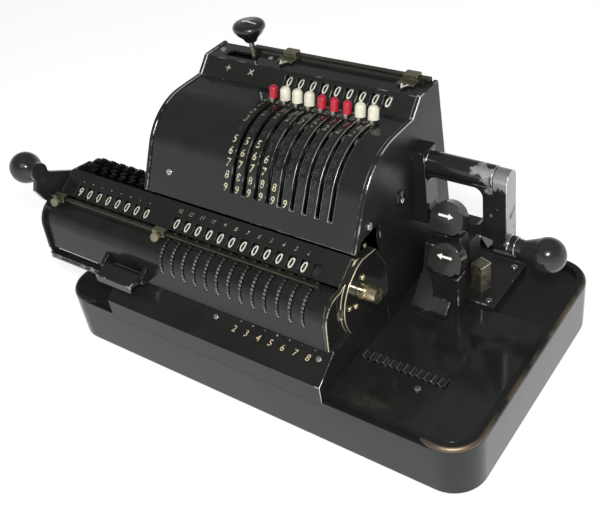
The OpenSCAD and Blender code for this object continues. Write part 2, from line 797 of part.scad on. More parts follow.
module shift_key(x, y, z, foot_z) color(enamel) placed() translate([x, y, z]) {
    intersection() {
        rotate([-key_tilt, 0, 0]) along_y(-key_t / 2, key_t / 2) {
            translate([0, key_h / 2 - key_w / 2]) circle(d = key_w);
            translate([-key_w / 2, -key_h / 2]) square([key_w, key_h - key_w / 2]);
        }
        block([-key_w, -key_h, -key_h / 2], [key_w, key_h, key_h]);
    }
    block([-key_stem[0] / 2, -key_stem[1] / 2, foot_z - z], [key_stem[0] / 2, key_stem[1] / 2, 0]);
}

module left_shift_key() shift_key(key_a_x, key_a_y, deck_z + key_a_h, key_a_foot);
module right_shift_key() shift_key(key_b_x, key_b_y, deck_z + key_b_h, key_b_foot);

module key_slot(x, y, foot_z) block(
    [x - key_stem[0] / 2 - gap, y - key_stem[1] / 2 - gap, foot_z - key_travel - past],
    [x + key_stem[0] / 2 + gap, y + key_stem[1] / 2 + gap, roof_z]
);

// A pillar that guides a key's stem and ends just under the pressed cap
module key_pillar(x, y, h) block(
    [x - pillar_w / 2, y - pillar_front, deck_z],
    [x + pillar_w / 2, y + pillar_back, deck_z + h - key_h / 2 - key_travel - past]
);

module key_block() color(enamel) placed() difference() {
    union() {
        along_x(block_x0, block_x1) polygon([
            [block_front, deck_z], [block_front, deck_z + block_low], [block_step, deck_z + block_mid],
            [block_shelf, deck_z + block_h], [block_back, deck_z + block_h],
            [block_back + block_slope, deck_z]
        ]);
        key_pillar(key_a_x, key_a_y, key_a_h);
        key_pillar(key_b_x, key_b_y, key_b_h);
        block(
            [key_plate_x[0], plate_back + gap, well_z],
            [key_plate_x[1], key_plate_back, deck_z + key_plate_t]
        );
    }
    key_slot(key_a_x, key_a_y, key_a_foot);
    key_slot(key_b_x, key_b_y, key_b_foot);
}

module stop_block() color(worn_steel) placed()
    translate([stop_p[0], stop_p[1], deck_z + key_plate_t]) rotate([0, 0, -stop_turn])
        translate([-stop_side / 2, -stop_side / 2, 0]) cube([stop_side, stop_side, stop_h - key_plate_t]);

// Marker rails and their sliding markers

module upper_marker_rail() color(steel) placed() {
    x0 = cover_x0 + 28;
    block([x0, rear_top_y - rail_w - 1, roof_z + 2], [cover_x1, rear_top_y - 1, roof_z + 2 + rail_t]);
    for (x = [x0, cover_x1 - 4]) block(
        [x, rear_top_y - rail_w - 1, roof_z], [x + 4, rear_top_y - 1, roof_z + 2 + rail_t / 2]
    );
}

// A marker hugs a rail of width w on all sides. Its plate of half width h reaches plate in front of the
// rail, and its tip reaches pointer
module marker(x, y, z, w, h, plate, pointer) color(brass) placed() translate([x, y, z]) {
    difference() {
        block([-marker_l / 2, -1.2, -1.3], [marker_l / 2, w + 1.2, rail_t + 1.3]);
        block([-marker_l, -0.2, -0.2], [marker_l, w + 0.2, rail_t + 0.2]);
    }
    translate([0, -1.2, -1.3]) linear_extrude(1.2) {
        translate([-h, -plate]) square([2 * h, plate + past]);
        polygon([[-h / 2, -plate], [-h / 2, past], [h / 2, past], [h / 2, -plate], [0, -pointer]]);
    }
}

module upper_marker_left() marker(-marker_c_x, rear_top_y - rail_w - 1, roof_z + 2, rail_w, 6, 6.5, 12);
module upper_marker_right() marker(marker_d_x, rear_top_y - rail_w - 1, roof_z + 2, rail_w, 6, 6.5, 12);

// Carriage

module carriage_face() color(enamel) placed() difference() {
    along_x(car_x0, car_x1) strip(face_front, face_back, face_t);
    for (x = dial_columns) translate([x, number_p[0], number_p[1]]) rotate([face_tilt, 0, 0])
        cube([window_w, window_h, 4 * face_t], center = true);
}

// Cross-section of the carriage's front, drawn in by t: an upright panel under a round nose
module shell_outline(t) {
    intersection() {
        translate(wheel_c) circle(shell_r - t);
        wedge(wheel_c, 2 * shell_r, 66, 180 + arc_lap);
    }
    polygon([
        wheel_c, wheel_c - [shell_r - t, 0], shell_foot + [t, -t], [wheel_c[0], shell_foot[1] - t]
    ]);
}

// Room for the thumbwheels in the front shell and the floor
module wheel_slots() for (k = [1 : result_n]) translate([column_x(k) + wheel_shift, 0, 0])
    along_x(-wheel_w / 2 - gap, wheel_w / 2 + gap) translate(wheel_c) circle(wheel_r + gap);

module carriage_shell() color(enamel) placed() {
    difference() {
        along_x(car_x0, car_x1) shell_outline(0);
        along_x(car_x0 - past, car_x1 + past) {
            shell_outline(shell_t);
            translate([wheel_c[0] - shell_t, car_z - past]) square(2 * shell_r);
        }
        wheel_slots();
    }
    block(
        [rail_x1 - rail_post[0], rail_y, wheel_c[1] + shell_r - rail_post[1] / 2],
        [rail_x1, rail_y + rail_post[1], rail_z]
    );
    for (x = [-handle_left - 3 - gap, -handle_left + handle_w + gap]) along_x(x, x + 3) polygon([
        shell_foot + [0.4, 3], shell_foot + [-6.5, 4], shell_foot + [-6.5, 9], shell_foot + [0.8, 14]
    ]);
    rod(-handle_left - past, -handle_left + handle_w + past, handle_pin, handle_pin_d);
}

module carriage_handle() color(enamel) placed() difference() {
    along_x(-handle_left, -handle_left + handle_w) difference() {
        polygon([
            handle_pin + [2.6, -2.2], handle_pin + [2.6, 2.2], handle_pin + [-1, 3],
            handle_pin + [-handle_reach, 1], handle_pin + [-handle_reach, -handle_lip],
            handle_pin + [1.6 - handle_reach, -handle_lip], handle_pin + [1.6 - handle_reach, -1.4],
            handle_pin + [-1, -3]
        ]);
        translate(handle_pin) circle(d = handle_pin_d + 2 * fit);
    }
    translate([-handle_left, handle_pin[0] - handle_reach, 0]) rotate([0, 0, 35])
        block([-handle_w, -handle_w, 0], [0, handle_w, roof_z]);
}

// Cross-section of the carriage with a nose of radius r round the thumbwheel axis
module carriage_outline(r) {
    translate(wheel_c) circle(r);
    polygon([
        [wheel_c[0] - r - 1, car_z], [wheel_c[0] - r, wheel_c[1]], wheel_c + [0, r - 1],
        face_front + 0.5 * face_n, face_back - 1.5 * face_dir + 0.5 * face_n,
        [counter_gear_c[0] + 4, face_back[1] - 3], [car_back, wheel_c[1] + 4], [car_back, car_z]
    ]);
}

module carriage_frame() color(enamel) placed() {
    difference() {
        block([car_x0, floor_y, car_z], [car_x1, car_back, floor_z]);
        wheel_slots();
    }
    difference() {
        along_x(partition_x, partition_x + partition_t) polygon([
            [floor_y, floor_z - past], wheel_c - [shell_r - shell_t - 0.6, 0],
            wheel_c + [-4, shell_r - shell_t - 2], face_front - 2.6 * face_n + 1.2 * face_dir,
            face_back - (face_t + gap) * face_n - face_dir, [car_back, wheel_c[1]],
            [car_back, floor_z - past]
        ]);
        rod(partition_x - past, partition_x + partition_t + past, wheel_c, wheel_shaft_d);
        rod(partition_x - past, partition_x + partition_t + past, dial_c, dial_shaft_d);
    }
    for (x = [counter_column_x(counter_n) - 8, counter_column_x(1) + 6]) difference() {
        along_x(x, x + 2) polygon([
            [counter_gear_c[0] - 9, floor_z - past], counter_gear_c + [-5, 5],
            counter_gear_c + [5, 5], [car_back, floor_z - past]
        ]);
        rod(x - past, x + 3, counter_gear_c, counter_shaft_d);
        rod(x - past, x + 3, dial_c, dial_d + 2);
    }
}

// The left end plate reaches down to the guide bar
module guide_hook() block(
    [-car_left, front_y + guide_inset, guide_z + guide_h + gap],
    [car_x0, front_y + guide_inset + hook_d, car_z + past]
);

module carriage_end_plates() color(enamel) placed() {
    difference() {
        union() {
            along_x(-car_left, car_x0) carriage_outline(plate_r);
            guide_hook();
        }
        rod(-car_left - past, car_x0 + past, dial_c, dial_shaft_d);
    }
    difference() {
        union() {
            along_x(car_x1, car_right) carriage_outline(shell_r);
            along_x(car_right - past, cheek_x1) intersection() {
                translate(cheek_c) circle(cheek_r);
                carriage_outline(shell_r);
            }
        }
        rod(car_x1 - past, cheek_x1 + past, dial_c, dial_shaft_d);
        rod(car_x1 - past, car_right + past, wheel_c, wheel_shaft_d);
    }
}

module lower_marker_rail() color(steel) placed() block(
    [-car_left, rail_y, rail_z], [rail_x1, rail_y + car_rail_w, rail_z + rail_t]
);

module lower_marker_left() marker(-car_left + marker_a_in, rail_y, rail_z, car_rail_w, 3, 0.4, 2);
module lower_marker_right() marker(-marker_b_x, rail_y, rail_z, car_rail_w, 3, 0.4, 2);

module carriage_shafts() color(steel) placed() {
    rod(-car_left - 10, cheek_x1 + clear_knob_l - 2, dial_c, dial_shaft_d);
    rod(partition_x, car_right, wheel_c, wheel_shaft_d);
}

module number_dials() color(enamel) placed() for (x = dial_columns) difference() {
    rod(x - dial_w / 2, x + dial_w / 2, dial_c, dial_d);
    rod(x - dial_w, x + dial_w, dial_c, dial_shaft_d + 2 * fit);
}

module counter_gears() color(steel) placed() {
    rod(counter_column_x(counter_n) - 8, counter_column_x(1) + 8, counter_gear_c, counter_shaft_d);
    for (k = [1 : counter_n]) along_x(counter_column_x(k) - 2.2, counter_column_x(k) + 2.2)
        translate(counter_gear_c) gear_outline(counter_gear_d / 2 * 0.9, counter_gear_teeth);
}

module thumbwheel(k) color(steel) placed() translate([column_x(k) + wheel_shift, 0, 0]) difference() {
    union() {
        along_x(-wheel_w / 2, wheel_w / 2) translate(wheel_c) polygon([
            for (j = [0 : 2 * knurl_n - 1]) polar([0, 0], wheel_r - knurl_h * (j % 2), j * 180 / knurl_n)
        ]);
        rod(-wheel_w / 2 - 1.4, wheel_w / 2 + 1.4, wheel_c, wheel_shaft_d + 5);
    }
    rod(-pitch, pitch, wheel_c, wheel_shaft_d + 2 * fit);
}

module thumbwheel_1() thumbwheel(1);
module thumbwheel_2() thumbwheel(2);
module thumbwheel_3() thumbwheel(3);
module thumbwheel_4() thumbwheel(4);
module thumbwheel_5() thumbwheel(5);
module thumbwheel_6() thumbwheel(6);
module thumbwheel_7() thumbwheel(7);
module thumbwheel_8() thumbwheel(8);
module thumbwheel_9() thumbwheel(9);
module thumbwheel_10() thumbwheel(10);
module thumbwheel_11() thumbwheel(11);
module thumbwheel_12() thumbwheel(12);
module thumbwheel_13() thumbwheel(13);

// Clearing controls on the ends of the dial shaft

module counter_clear_lever() color(enamel) placed() difference() {
    ball_c = polar(dial_c, clear_len, clear_angle);
    x1 = -car_left - gap;
    union() {
        rod(x1 - 8, x1, dial_c, 14);
        along_x(x1 - 3 - clear_t, x1 - 3) {
            translate(dial_c) circle(clear_hub_r);
            translate(ball_c) circle(clear_hub_r / 2);
            translate(dial_c) rotate(clear_angle) polygon([
                [0, -clear_hub_r * 0.8], [clear_len * 0.25, -clear_hub_r * 1.06],
                [clear_len * 0.8, -clear_hub_r * 0.3], [clear_len, -clear_hub_r * 0.4],
                [clear_len, clear_hub_r * 0.4],
                [clear_len * 0.86, clear_hub_r], [clear_len * 0.55, clear_hub_r * 1.15],
                [0, clear_hub_r * 0.8]
            ]);
        }
        rod(ball_x, x1 - 4, ball_c, clear_neck_d);
        translate([ball_x, ball_c[0], ball_c[1]]) rotate([0, 0, 180]) sphere(d = ball_d);
    }
    rod(x1 - 10, x1 + past, dial_c, dial_shaft_d + 2 * fit);
}

module result_clear_knob() color(brass) placed() difference() {
    rod(cheek_x1 + gap, cheek_x1 + clear_knob_l, dial_c, clear_knob_d);
    rod(cheek_x1, cheek_x1 + clear_knob_l - 1, dial_c, dial_shaft_d + 2 * fit);
    along_x(cheek_x1 + clear_knob_l * 0.42, cheek_x1 + clear_knob_l * 0.52) difference() {
        translate(dial_c) circle(clear_knob_d);
        translate(dial_c) circle(clear_knob_d / 2 - 0.8);
    }
    along_x(cheek_x1 + clear_knob_l - 0.6, cheek_x1 + clear_knob_l + past) translate(dial_c)
        square([2 * clear_knob_d, 1.2], center = true);
}

base_casting();
bottom_plate();
base_cover_plate();
rubber_feet();
carriage_bed();
guide_bar();
shift_rack();
left_side_plate();
right_side_plate();
slotted_cover();
top_panel();
rear_cover();
upper_marker_rail();
crank_bracket();
key_block();
stop_block();
check_dials();
main_shaft();
crank_arm();
crank_grip();
setting_lever_1();
setting_lever_2();
setting_lever_3();
setting_lever_4();
setting_lever_5();
setting_lever_6();
setting_lever_7();
setting_lever_8();
setting_lever_9();
selector_lever();
left_shift_key();
right_shift_key();
upper_marker_left();
upper_marker_right();
carriage_face();
carriage_shell();
carriage_frame();
carriage_end_plates();
lower_marker_rail();
carriage_shafts();
number_dials();
counter_gears();
thumbwheel_1();
thumbwheel_2();
thumbwheel_3();
thumbwheel_4();
thumbwheel_5();
thumbwheel_6();
thumbwheel_7();
thumbwheel_8();
thumbwheel_9();
thumbwheel_10();
thumbwheel_11();
thumbwheel_12();
thumbwheel_13();
counter_clear_lever();
result_clear_knob();
carriage_handle();
lower_marker_left();
lower_marker_right();
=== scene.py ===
"""Looks for a crank-driven desk calculating machine: enamel, bare metal, numbers, screws and light."""

import functools
import json
import math

import bmesh
import bpy
from mathutils import Matrix, Vector

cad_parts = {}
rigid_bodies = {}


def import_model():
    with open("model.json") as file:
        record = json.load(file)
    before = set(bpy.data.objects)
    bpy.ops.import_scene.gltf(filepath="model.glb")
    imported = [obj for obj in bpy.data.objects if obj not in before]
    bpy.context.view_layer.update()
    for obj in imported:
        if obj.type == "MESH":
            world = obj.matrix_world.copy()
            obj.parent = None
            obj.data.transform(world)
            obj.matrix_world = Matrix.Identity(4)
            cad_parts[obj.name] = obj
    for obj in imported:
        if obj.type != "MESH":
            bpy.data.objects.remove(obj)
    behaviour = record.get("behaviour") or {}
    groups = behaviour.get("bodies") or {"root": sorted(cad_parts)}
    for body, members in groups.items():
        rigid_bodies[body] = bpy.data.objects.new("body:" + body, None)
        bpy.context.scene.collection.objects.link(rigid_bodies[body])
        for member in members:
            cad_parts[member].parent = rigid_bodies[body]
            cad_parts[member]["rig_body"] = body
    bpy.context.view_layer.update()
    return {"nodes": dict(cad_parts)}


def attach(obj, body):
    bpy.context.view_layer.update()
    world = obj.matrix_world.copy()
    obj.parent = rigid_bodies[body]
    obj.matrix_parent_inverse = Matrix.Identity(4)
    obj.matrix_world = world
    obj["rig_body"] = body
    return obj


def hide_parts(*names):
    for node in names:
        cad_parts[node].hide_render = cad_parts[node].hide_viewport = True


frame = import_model()
NODES = frame["nodes"]

# The machine's lengths are millimetres, with X from the base's middle, and a line along X is its (y, z).
# Materials, floor, light and camera count in metres.
MM = 0.001
BASE_X = 23.75
DECK_Z = 41.0
ROOF_Z = 168.0
# The main shaft and the cover bent round it
MAIN = (15.0, 116.0)
COVER_R = 42.0
SKIRT_LEAN = math.radians(28)
ARC_LEN = COVER_R * (math.pi / 2 - SKIRT_LEAN)
# The cover's flat parts lie this far inside its round part
SEAT = 0.1
# The levers' angle at zero and their step from number to number, in degrees
LEVER_ZERO = 76.5
LEVER_STEP = 91 / 9
# First column and spacing of the levers and of the counter
UNITS_X = 41.5
PITCH = 9.3
COUNTER_X = -97.0
COUNTER_PITCH = 9.15
# The carriage's number face, its dials and the check dials
NUMBER = (-48.6, 99.0)
FACE_TILT = math.radians(33)
DIAL = (-40.981, 87.264)
DIAL_R = 12.0
CHECK = (50.339, 154.161)
CHECK_R = 10.0
# Slopes of the top panel, the rear cover and the bed
PANEL_TILT = math.radians(45)
REAR_TOP_Y = 67.0
REAR_LEAN = 10.5 / 127.0
BED_BACK = (-72.0, 63.5)
BED_TILT = math.atan2(13.5, 18.75)
# Outer faces of the side plates and the way each looks along X
RIGHT_PLATE_X = 62.6
LEFT_PLATE_X = -106.0
PLATES = ((RIGHT_PLATE_X, 1), (LEFT_PLATE_X, -1))
# The selector's (x, y), the top of its knob and where the knob's black begins on the stem
SELECTOR = (-69.5, 55.0)
KNOB_TOP = 194.0
KNOB_START = 180.0
RED_LEVERS = (3, 4, 5, 9)


def at(x, y, z):
    """A point of the machine in the shared frame, in metres."""
    return Vector(((x + BASE_X) * MM, y * MM, z * MM))


def column_x(k):
    """Middle of a column of levers, counted from the right."""
    return UNITS_X - (k - 1) * PITCH


def counter_x(k):
    """Middle of a column of the counter, counted from the right."""
    return COUNTER_X - (k - 1) * COUNTER_PITCH


# Materials


class Shader:
    """A material with one Principled shader and short calls for the nodes that feed it."""

    def __init__(self, name, **sockets):
        self.mat = bpy.data.materials.new(name)
        self.mat.use_nodes = True
        self.tree = self.mat.node_tree
        self.bsdf = self.tree.nodes["Principled BSDF"]
        self.coords = self.tree.nodes.new("ShaderNodeTexCoord")
        for key, value in sockets.items():
            self.bsdf.inputs[key.replace("_", " ")].default_value = value

    def node(self, kind, **settings):
        made = self.tree.nodes.new(kind)
        for key, value in settings.items():
            setattr(made, key, value)
        return made

    def link(self, source, target):
        self.tree.links.new(source, target)

    def noise(self, scale, detail=3.0, stretch=(1, 1, 1)):
        """Noise in the object's own space, finer along an axis with a larger stretch."""
        mapping = self.node("ShaderNodeMapping")
        mapping.inputs["Scale"].default_value = stretch
        self.link(self.coords.outputs["Object"], mapping.inputs["Vector"])
        made = self.node("ShaderNodeTexNoise")
        made.inputs["Scale"].default_value = scale
        made.inputs["Detail"].default_value = detail
        self.link(mapping.outputs["Vector"], made.inputs["Vector"])
        return made.outputs["Fac"]

    def ramp(self, source, low, high, start=0.0, end=1.0):
        """Takes a value from the range low to high into the range start to end, and no further."""
        made = self.node("ShaderNodeMapRange")
        made.inputs["From Min"].default_value = low
        made.inputs["From Max"].default_value = high
        made.inputs["To Min"].default_value = start
        made.inputs["To Max"].default_value = end
        self.link(source, made.inputs["Value"])
        return made.outputs["Result"]

    def mix(self, factor, a, b):
        """Blends two colours, each a tuple or a node's output."""
        made = self.node("ShaderNodeMix", data_type="RGBA")
        self.link(factor, made.inputs["Factor"])
        colours = [i for i in made.inputs if i.type == "RGBA"]
        for value, socket in zip((a, b), colours):
            if isinstance(value, tuple):
                socket.default_value = (*value, 1.0)
            else:
                self.link(value, socket)
        return next(o for o in made.outputs if o.type == "RGBA")

    def math(self, operation, a, b):
        """Joins two values and keeps the result between 0 and 1."""
        made = self.node("ShaderNodeMath", operation=operation, use_clamp=True)
        self.link(a, made.inputs[0])
        self.link(b, made.inputs[1])
        return made.outputs["Value"]

    def part_of(self, what, axis):
        """One axis of the surface's place or normal, in the object's own space."""
        split = self.node("ShaderNodeSeparateXYZ")
        self.link(self.coords.outputs[what], split.inputs["Vector"])
        return split.outputs[axis]

    def colour(self, source):
        self.link(source, self.bsdf.inputs["Base Color"])

    def rough(self, source):
        self.link(source, self.bsdf.inputs["Roughness"])

    def metal(self, source):
        self.link(source, self.bsdf.inputs["Metallic"])

    def bump(self, source, strength):
        """Relief of a tenth of a millimetre at full strength."""
        made = self.node("ShaderNodeBump")
        made.inputs["Strength"].default_value = strength
        made.inputs["Distance"].default_value = 0.1 * MM
        self.link(source, made.inputs["Height"])
        self.link(made.outputs["Normal"], self.bsdf.inputs["Normal"])


BLACK = (0.012, 0.0125, 0.0115)
SMOKE = (0.017, 0.0175, 0.0165)
BARE = (0.60, 0.60, 0.57)
BRONZE = (0.20, 0.155, 0.11)
DUST = (0.10, 0.10, 0.092)
ENAMEL_TINT = (0.90, 1.0, 0.96, 1.0)
# What a fully bared zone adds to the noise that the bare metal starts from. Some zones are real wear, others
# paint a highlight or reflection as bare metal.
ZONE_BARING = 0.3


def enamel(name, wear_low, wear_high, bare=BARE, scale=70.0, dust=0.04, bared=(), rough=(0.09, 0.17),
           specular=0.5):
    """Black stove enamel. Noise between wear_low and wear_high bares the metal below.
    Each zone in bared bares more metal: some zones are real wear, others are painted highlights or
    reflections. A zone is one or more ranges (what, axis, start, end) along an axis of the part's place, in
    metres, or of its normal, and is bared where all of them have ended."""
    s = Shader(name, Specular_IOR_Level=specular, Specular_Tint=ENAMEL_TINT)
    cloud = s.noise(45.0)
    fine = s.noise(1400.0, 2.0)
    grit = s.noise(scale, 6.0)
    for zone in bared:
        more = None
        for what, axis, start, end in zone:
            one = s.ramp(s.part_of(what, axis), start, end)
            more = s.math("MULTIPLY", more, one) if more else one
        grit = s.math("ADD", grit, s.ramp(more, 0.0, 1.0, 0.0, ZONE_BARING))
    wear_and_glint = s.ramp(grit, wear_low, wear_high)
    paint = s.mix(s.ramp(cloud, 0.35, 0.7), BLACK, SMOKE)
    upward = s.ramp(s.part_of("Normal", "Z"), 0.6, 1.0, 0.0, dust)
    settled = s.math("MULTIPLY", upward, s.ramp(s.noise(260.0, 5.0), 0.45, 0.75))
    paint = s.mix(settled, paint, DUST)
    s.colour(s.mix(wear_and_glint, paint, bare))
    s.metal(s.ramp(wear_and_glint, 0.0, 1.0, 0.0, 0.75))
    s.rough(s.math("ADD", s.ramp(cloud, 0.3, 0.75, *rough), s.ramp(wear_and_glint, 0.0, 1.0, 0.0, 0.2)))
    s.bump(fine, 0.06)
    return s.mat


def worn_edge(name, wear_low, wear_high, bare=BARE, bared=()):
    """Enamel on rounded edges, worn in smaller spots and free of dust."""
    return enamel(name, wear_low, wear_high, bare, scale=120.0, dust=0.0, bared=bared)


def bare_metal(name, tone, shade, rough, grain=(1, 1, 1)):
    """Bare or plated metal with grain, stains and uneven polish."""
    s = Shader(name, Metallic=1.0)
    stain = s.noise(90.0, 5.0)
    lines = s.noise(300.0, 3.0, grain)
    s.colour(s.mix(s.ramp(stain, 0.35, 0.75), tone, shade))
    s.rough(s.ramp(lines, 0.3, 0.7, rough * 0.75, rough * 1.3))
    s.bump(lines, 0.15)
    return s.mat


def plastic(name, tone, shade, rough):
    """Moulded grips, knobs, keys, dials and feet, slightly mottled."""
    s = Shader(name)
    mottle = s.noise(220.0, 4.0)
    s.colour(s.mix(s.ramp(mottle, 0.35, 0.7), tone, shade))
    s.rough(s.ramp(mottle, 0.3, 0.7, rough * 0.8, rough * 1.2))
    s.bump(s.noise(700.0, 2.0), 0.08)
    return s.mat


def paint(name, tone, low, high):
    """Paint of numbers and arrows, worn away where noise lies below low and whole above high."""
    s = Shader(name, Roughness=0.55)
    kept = s.ramp(s.noise(420.0, 4.0), low, high)
    s.colour(s.mix(kept, SMOKE, tone))
    s.bump(s.noise(900.0, 2.0), 0.2)
    return s.mat


def tipped(name, tip, stem, centre, start, rough):
    """A steel stem with a coloured tip, which begins start metres from a line along X through centre."""
    s = Shader(name, Coat_Weight=0.3, Coat_Roughness=0.06)
    shift = s.node("ShaderNodeVectorMath", operation="SUBTRACT")
    shift.inputs[1].default_value = centre
    s.link(s.coords.outputs["Object"], shift.inputs[0])
    flat = s.node("ShaderNodeVectorMath", operation="MULTIPLY")
    flat.inputs[1].default_value = (0, 1, 1)
    s.link(shift.outputs["Vector"], flat.inputs[0])
    reach = s.node("ShaderNodeVectorMath", operation="LENGTH")
    s.link(flat.outputs["Vector"], reach.inputs[0])
    blur = 0.05 * MM
    metal = s.ramp(reach.outputs["Value"], start - blur, start + blur, 1.0, 0.0)
    mottle = s.noise(260.0, 4.0)
    shade = tuple(0.72 * v for v in tip)
    s.colour(s.mix(metal, s.mix(s.ramp(mottle, 0.4, 0.75), tip, shade), stem))
    s.metal(metal)
    s.rough(s.ramp(mottle, 0.3, 0.7, rough * 0.8, rough * 1.2))
    s.bump(s.noise(700.0, 2.0), 0.08)
    return s.mat


def base_enamel():
    """Enamel of the base, rubbed to bronze on the rim, most at the right front corner."""
    s = Shader("base_enamel", Specular_IOR_Level=0.27, Specular_Tint=ENAMEL_TINT)
    cloud = s.noise(30.0, 4.0)
    grit = s.noise(55.0, 6.0)
    x = s.part_of("Object", "X")
    y = s.part_of("Object", "Y")
    level = s.part_of("Normal", "Z")
    rim = s.math("MULTIPLY", s.ramp(level, 0.2, 0.5), s.ramp(level, 0.995, 0.95))
    corner = s.math("MULTIPLY", s.ramp(x, 0.150, 0.168), s.ramp(y, -0.055, -0.075))
    edge = s.math("MULTIPLY", s.ramp(x, 0.172, 0.180), s.ramp(grit, 0.42, 0.62, 0.0, 0.55))
    bared = s.math("MULTIPLY", rim, s.math("MAXIMUM", corner, edge))
    base = s.mix(s.ramp(cloud, 0.35, 0.7), BLACK, SMOKE)
    s.colour(s.mix(bared, base, BRONZE))
    s.metal(bared)
    s.rough(s.math("ADD", s.ramp(cloud, 0.3, 0.75, 0.14, 0.24), s.ramp(bared, 0.0, 1.0, 0.0, 0.25)))
    s.bump(s.noise(1100.0, 2.0), 0.1)
    return s.mat


ENAMEL = enamel("black_enamel", 0.80, 0.86)
SHELL = enamel("shell_enamel", 0.80, 0.86, rough=(0.14, 0.24), specular=0.26)
SATIN = enamel("satin_enamel", 0.80, 0.86, rough=(0.28, 0.42), specular=0.28)
# Painted highlight: the side plates' sloped front edge is bared to stand for the bright line the light draws
# along it.
PLATE_SLOPE_HIGHLIGHT = (("Object", "Z", 0.154, 0.158), ("Object", "Y", 0.052, 0.048))
EDGE = worn_edge("worn_edge", 0.52, 0.66, bared=(PLATE_SLOPE_HIGHLIGHT,))
SOFT_EDGE = worn_edge("slightly_worn_edge", 0.56, 0.70)
# Painted highlight: the slot edges are bared more towards the right, standing for the bright lines the light
# draws along the slots.
COVER_RIGHT_HIGHLIGHT = (("Object", "X", -0.01, 0.06),)
COVER_EDGE = worn_edge("cover_edge", 0.58, 0.74, bared=(COVER_RIGHT_HIGHLIGHT,))
BED_END = (("Object", "X", 0.084, 0.087), ("Object", "Z", 0.056, 0.050))
BED_EDGE = worn_edge("bed_edge", 0.66, 0.78, bared=(BED_END,))
CARRIAGE_END = (("Object", "X", 0.08, 0.085),)
WARM_BARE = (0.60, 0.51, 0.37)
END_EDGE = worn_edge("carriage_end_edge", 0.62, 0.74, WARM_BARE, bared=(CARRIAGE_END,))
GREY_BARE = (0.50, 0.51, 0.50)
TUBE_END = (("Object", "X", 0.120, 0.136), ("Object", "Z", 0.112, 0.124))
NOSE = (("Object", "X", 0.126, 0.128), ("Object", "Z", 0.089, 0.087))
BRACKET = enamel("bracket_enamel", 0.70, 0.76, GREY_BARE, scale=90.0, bared=(TUBE_END, NOSE))
# Painted glint: a small bared spot on the edges at the root of the crank tube stands for the light caught
# there.
TUBE_ROOT_GLINT = (("Object", "X", 0.100, 0.096), ("Object", "Z", 0.1335, 0.1345),
             ("Object", "Z", 0.1375, 0.1365))
BRACKET_EDGE = worn_edge("bracket_edge", 0.62, 0.76, bared=(TUBE_END, NOSE, TUBE_ROOT_GLINT))
ARM_BARE = (0.37, 0.375, 0.365)
# Wear bares the arm's top. Its outer side and its foot are bared partly as wear and partly as a painted
# reflection of the pale light they catch.
ARM_SIDE = (("Normal", "X", 0.5, 0.9),)
ARM_TOP = (("Object", "Z", 0.124, 0.130),)
ARM_FOOT = (("Object", "Z", 0.083, 0.081),)
ARM = enamel("arm_enamel", 0.60, 0.68, ARM_BARE, scale=110.0, bared=(ARM_SIDE, ARM_TOP, ARM_FOOT))
BASE = base_enamel()
STEEL = bare_metal("bright_steel", BARE, (0.42, 0.42, 0.40), 0.3, (1, 6, 6))
NICKEL = bare_metal("worn_nickel", (0.78, 0.78, 0.74), (0.6, 0.6, 0.56), 0.2)
WHEEL_STEEL = bare_metal("wheel_steel", (0.24, 0.24, 0.23), (0.13, 0.13, 0.125), 0.3, (8, 1, 1))
DARK_STEEL = bare_metal("oiled_steel", (0.045, 0.045, 0.043), (0.08, 0.08, 0.076), 0.32, (8, 1, 1))
BRONZED = bare_metal("bronzed_steel", (0.11, 0.105, 0.075), (0.07, 0.066, 0.048), 0.38, (1, 4, 4))
STOP = bare_metal("browned_steel", (0.30, 0.26, 0.20), (0.19, 0.165, 0.12), 0.55)
BRASS = bare_metal("pale_brass", (0.80, 0.70, 0.47), (0.62, 0.52, 0.33), 0.24)
OLIVE = bare_metal("olive_brass", (0.30, 0.29, 0.20), (0.20, 0.19, 0.13), 0.4)
HORN = plastic("olive_horn", (0.22, 0.21, 0.13), (0.13, 0.125, 0.08), 0.25)
LEVER_AXIS = (0, MAIN[0] * MM, MAIN[1] * MM)
CAP_START = 45.5 * MM
STEM = (0.45, 0.44, 0.38)
IVORY = tipped("ivory_cap", (0.80, 0.77, 0.62), STEM, LEVER_AXIS, CAP_START, 0.28)
RED = tipped("red_cap", (0.50, 0.012, 0.035), STEM, LEVER_AXIS, CAP_START, 0.24)
# The knob's black is counted from a line well below it, so that its edge is nearly level
KNOB_DROP = 60.0
KNOB_LINE = (0, SELECTOR[1] * MM, (KNOB_START - KNOB_DROP) * MM)
KNOB = tipped("selector_black", (0.012, 0.0125, 0.012), STEM, KNOB_LINE, KNOB_DROP * MM, 0.25)
GRIP_BLACK = plastic("polished_black", (0.020, 0.0205, 0.020), (0.026, 0.0265, 0.025), 0.12)
RUBBER = plastic("foot_rubber", (0.05, 0.05, 0.05), (0.07, 0.07, 0.068), 0.8)
DIAL_BLACK = plastic("dial_black", (0.014, 0.014, 0.014), (0.020, 0.020, 0.019), 0.4)
DIGIT = paint("number_paint", (0.86, 0.83, 0.70), 0.10, 0.24)
CLEAR_NUMBER = paint("clear_number_paint", (0.62, 0.57, 0.40), 0.32, 0.52)
DIM_NUMBER = paint("dim_number_paint", (0.26, 0.24, 0.17), 0.36, 0.58)
FAINT_NUMBER = paint("faint_number_paint", (0.036, 0.035, 0.031), 0.34, 0.62)
SCALE_PAINT = paint("scale_paint", (0.62, 0.50, 0.30), 0.25, 0.45)
LABEL = paint("label_paint", (0.55, 0.52, 0.42), 0.34, 0.58)
ARROW = paint("arrow_paint", (0.9, 0.9, 0.87), 0.2, 0.34)


# Mesh helpers


def link(obj):
    """Puts an object into the scene."""
    bpy.context.scene.collection.objects.link(obj)
    return obj


def finish_mesh(mesh):
    """Smooth faces, with sharp edges above 35 degrees."""
    mesh.polygons.foreach_set("use_smooth", [True] * len(mesh.polygons))
    mesh.set_sharp_from_angle(angle=math.radians(35))
    mesh.update()


